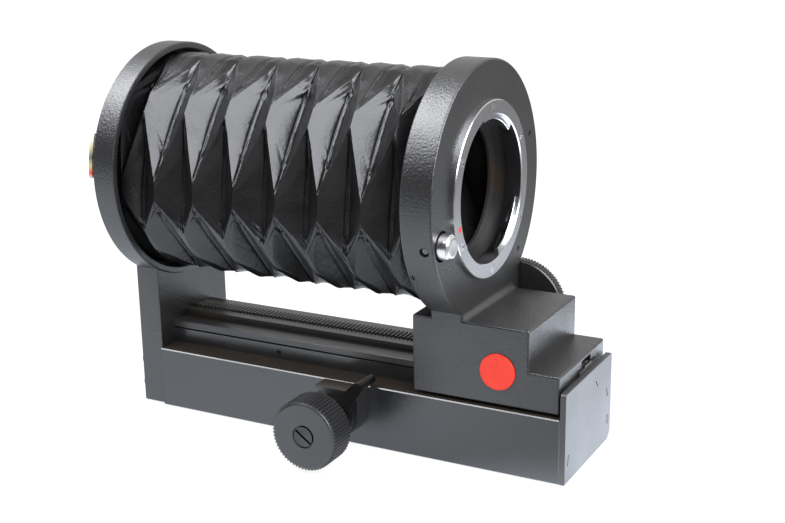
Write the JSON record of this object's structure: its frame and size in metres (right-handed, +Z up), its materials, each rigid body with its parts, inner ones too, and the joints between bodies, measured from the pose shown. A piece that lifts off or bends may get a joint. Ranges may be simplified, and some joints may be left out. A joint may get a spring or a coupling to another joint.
{
  "type": "macro bellows unit",
  "caption": "Black bellows joining a fixed rear ring to a geared lens standard on a channel base, with bayonet mounts, side knobs, lock lever and tripod slide.",
  "frame": {"origin": "centre of the tripod socket's mouth, under the middle of the base at the level of its underside", "axes": "+Z up, +X along the rail towards the lens end, near side with the slide knob at -Y"},
  "size_m": [0.1719, 0.0921, 0.1297],
  "materials": {
    "black_casting": "black crinkle paint on cast aluminium",
    "black_channel": "satin black paint on aluminium",
    "black_anodised": "black anodised",
    "black_knob": "satin black paint on turned aluminium",
    "bellows_skin": "black coated fabric",
    "frame_black": "matt black",
    "chromed": "satin chrome",
    "spring_steel": "bright",
    "dark_steel": "blackened",
    "brass_part": "turned",
    "red_enamel": "gloss"
  },
  "bodies": {
    "base": {"base_channel": "black_channel", "top_rail": "black_anodised", "rack": "black_anodised", "rack_pins": "dark_steel", "rail_screws": "dark_steel", "rail_side_screws": "dark_steel", "rear_standard": "black_casting", "rear_standard_screws": "dark_steel", "end_plate": "black_channel", "end_plate_screws": "dark_steel", "knob_bearing_housing": "black_channel", "housing_screws": "dark_steel", "far_shaft_bush": "brass_part", "rear_bellows_frame": "frame_black", "bellows": "bellows_skin"},
    "camera_ring": {"mount_turn_ring": "black_anodised", "mount_retaining_ring": "black_anodised", "retaining_ring_screws": "dark_steel", "camera_bayonet": "chromed", "camera_bayonet_screws": "spring_steel", "camera_index_tab": "chromed", "camera_index_dot": "red_enamel"},
    "lens_carriage": {"front_standard": "black_casting", "front_bellows_frame": "frame_black", "lens_bayonet_ring": "chromed", "lens_bayonet_screws": "spring_steel", "bayonet_springs": "spring_steel", "lens_index_dot": "red_enamel", "throat_baffle": "black_anodised", "button_stop_pin": "spring_steel", "disc_set_screw": "dark_steel", "face_set_screws": "dark_steel", "badge_disc": "red_enamel", "guide_strips": "brass_part", "guide_strip_screws": "dark_steel", "drive_bush_outer": "brass_part", "drive_bush_inner": "brass_part", "release_spring": "spring_steel"},
    "extension_knob": {"drive_shaft": "spring_steel", "drive_pinion": "brass_part", "drive_knob": "black_knob", "drive_knob_screw": "dark_steel"},
    "lens_button": {"release_button": "chromed", "lock_bar": "spring_steel"},
    "tripod_slider": {"tripod_sled": "black_anodised", "sled_rack": "brass_part", "sled_rack_screws": "dark_steel", "tripod_socket_insert": "spring_steel"},
    "slide_knob": {"focus_shaft": "spring_steel", "focus_pinion": "brass_part", "focus_knob": "black_knob", "focus_knob_screw": "dark_steel", "shaft_clip": "spring_steel", "brake_collar": "dark_steel"},
    "slide_lever": {"lock_lever": "dark_steel", "lever_pin": "dark_steel", "lock_sleeve": "dark_steel"}
  },
  "joints": [
    {"name": "lens_standard_slide", "type": "slide", "parent": "base", "child": "lens_carriage", "axis": [1, 0, 0], "range_m": [-0.076, 0], "deforming": ["bellows"]},
    {"name": "extension_drive", "type": "hinge", "parent": "lens_carriage", "child": "extension_knob", "pos_m": [0.0416, 0, 0.03965], "axis": [0, 1, 0], "range_deg": [-562, 1]},
    {"name": "lens_release", "type": "slide", "parent": "lens_carriage", "child": "lens_button", "axis": [-1, 0, 0], "range_m": [0, 0.0018], "stiffness_N_per_m": 600, "springref_m": -0.002, "deforming": ["release_spring"]},
    {"name": "camera_mount_turn", "type": "hinge", "parent": "base", "child": "camera_ring", "pos_m": [-0.0845, 0, 0.08779], "axis": [1, 0, 0], "range_deg": [-90, 90]},
    {"name": "tripod_slide", "type": "slide", "parent": "base", "child": "tripod_slider", "axis": [1, 0, 0], "range_m": [-0.03, 0.03]},
    {"name": "slide_drive", "type": "hinge", "parent": "base", "child": "slide_knob", "pos_m": [0.0005, 0, 0.0129], "axis": [0, -1, 0], "range_deg": [-431, 431]},
    {"name": "slide_lock", "type": "hinge", "parent": "base", "child": "slide_lever", "pos_m": [0.0005, 0, 0.0129], "axis": [0, -1, 0], "range_deg": [0, 78]}
  ],
  "couplings": [
    {"joint": "extension_drive", "follows": "lens_standard_slide", "rad_per_m": 129.03},
    {"joint": "slide_drive", "follows": "tripod_slide", "rad_per_m": 250}
  ]
}
